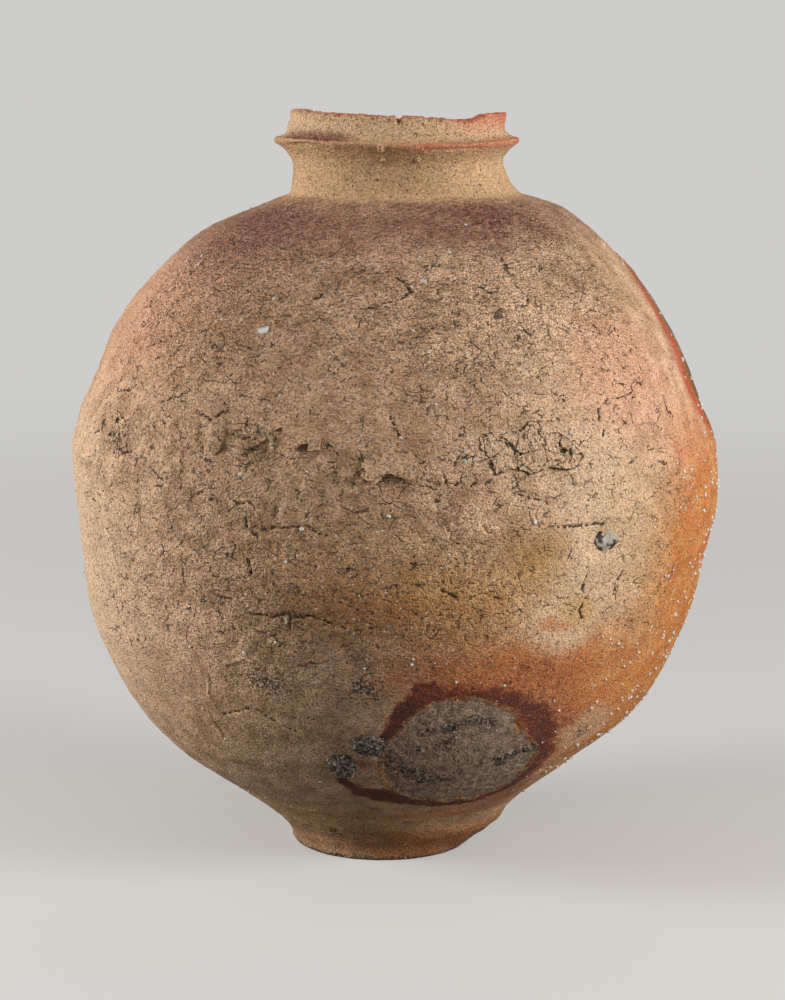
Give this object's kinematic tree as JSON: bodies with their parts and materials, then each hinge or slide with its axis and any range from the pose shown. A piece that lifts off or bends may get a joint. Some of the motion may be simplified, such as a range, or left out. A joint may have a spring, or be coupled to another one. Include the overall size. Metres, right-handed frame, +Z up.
{
  "type": "storage jar",
  "caption": "Tall wood-fired stoneware storage jar with a wide belly, narrow flat foot, short neck and flanged rim, its rough coil-built wall cracked and studded with stones.",
  "frame": {"origin": "on the table, under the middle of the belly", "axes": "+Z up along the jar's height, -Y to the front that the picture shows, +X to the right"},
  "size_m": [0.392, 0.395, 0.4469],
  "materials": {
    "clay": "dry unglazed stoneware",
    "foot_clay": "flashed orange-brown stoneware",
    "shoulder_clay": "dry stoneware with purple-brown flashing",
    "rim_clay": "dry stoneware with an orange flush",
    "feldspar": "half-melted white stone",
    "slag": "rough dark kiln slag"
  },
  "bodies": {
    "root": {"base_disc": "foot_clay", "lower_wall": "clay", "middle_wall": "clay", "belly_wall": "clay", "shoulder_wall": "clay", "upper_shoulder": "shoulder_clay", "neck_ring": "clay", "rim_ring": "rim_clay", "join_patch_right": "clay", "join_patch_front": "clay", "join_patch_left": "clay", "join_patch_far_left": "clay", "join_patch_side": "clay", "burst_stone": "feldspar", "white_stone": "feldspar", "slag_lump_left": "slag", "slag_lump_right": "slag"}
  },
  "joints": []
}
